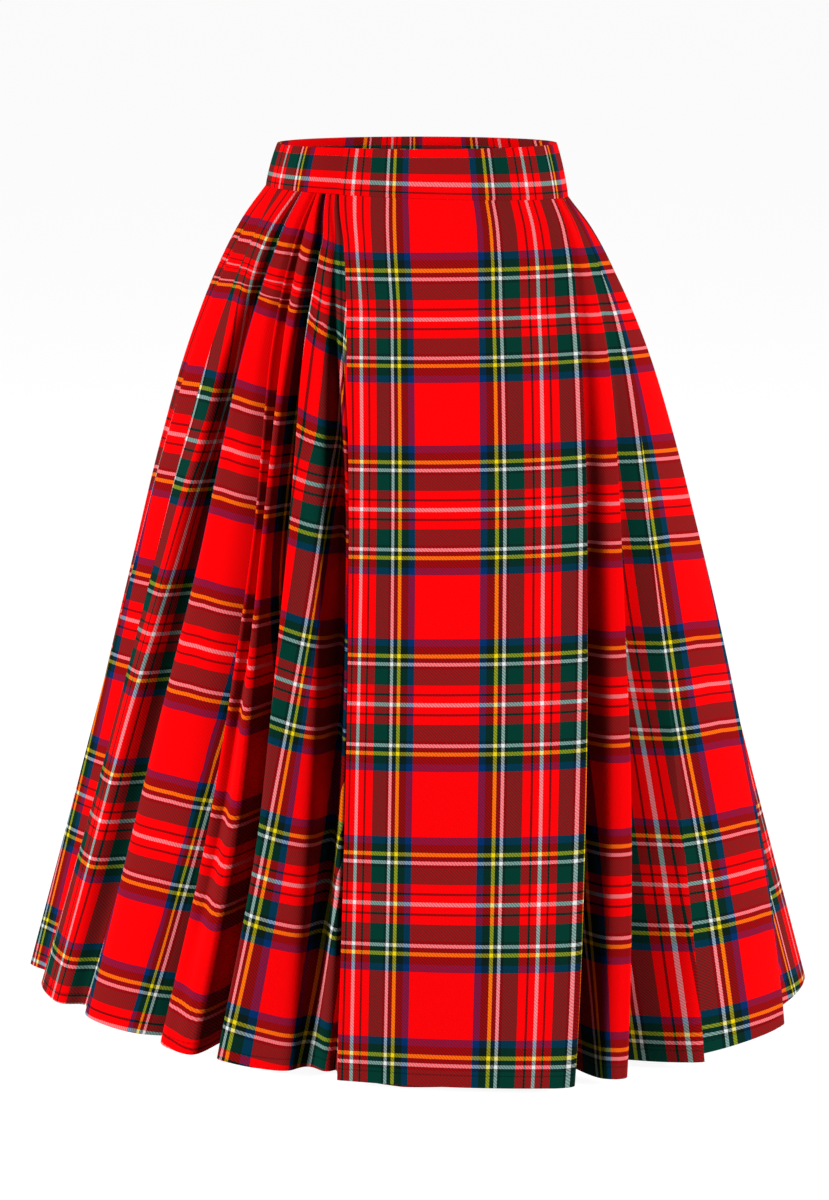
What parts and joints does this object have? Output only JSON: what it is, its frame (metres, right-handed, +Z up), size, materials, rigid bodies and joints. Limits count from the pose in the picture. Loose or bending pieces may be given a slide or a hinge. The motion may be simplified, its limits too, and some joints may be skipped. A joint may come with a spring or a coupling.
{
  "type": "pleated midi skirt",
  "caption": "Hollow, worn-form pleated midi skirt in red tartan, with a flat wrapped front panel, knife pleats laid away from it all round and a plain waistband.",
  "frame": {"origin": "middle of the waist opening, at half the depth of the waistband", "axes": "+Z up through the waist opening, -Y toward the flat front panel, +X toward the pleats beside the sewn edge of that panel, the wearer's left"},
  "size_m": [0.6968, 0.652, 0.7444],
  "materials": {
    "skirt_cloth": "matte",
    "waistband_cloth": "matte"
  },
  "bodies": {
    "root": {"waistband": "waistband_cloth", "front_panel": "skirt_cloth", "under_panel": "skirt_cloth", "left_pleats": "skirt_cloth", "back_left_pleats": "skirt_cloth", "back_right_pleats": "skirt_cloth", "right_pleats": "skirt_cloth"}
  },
  "joints": []
}
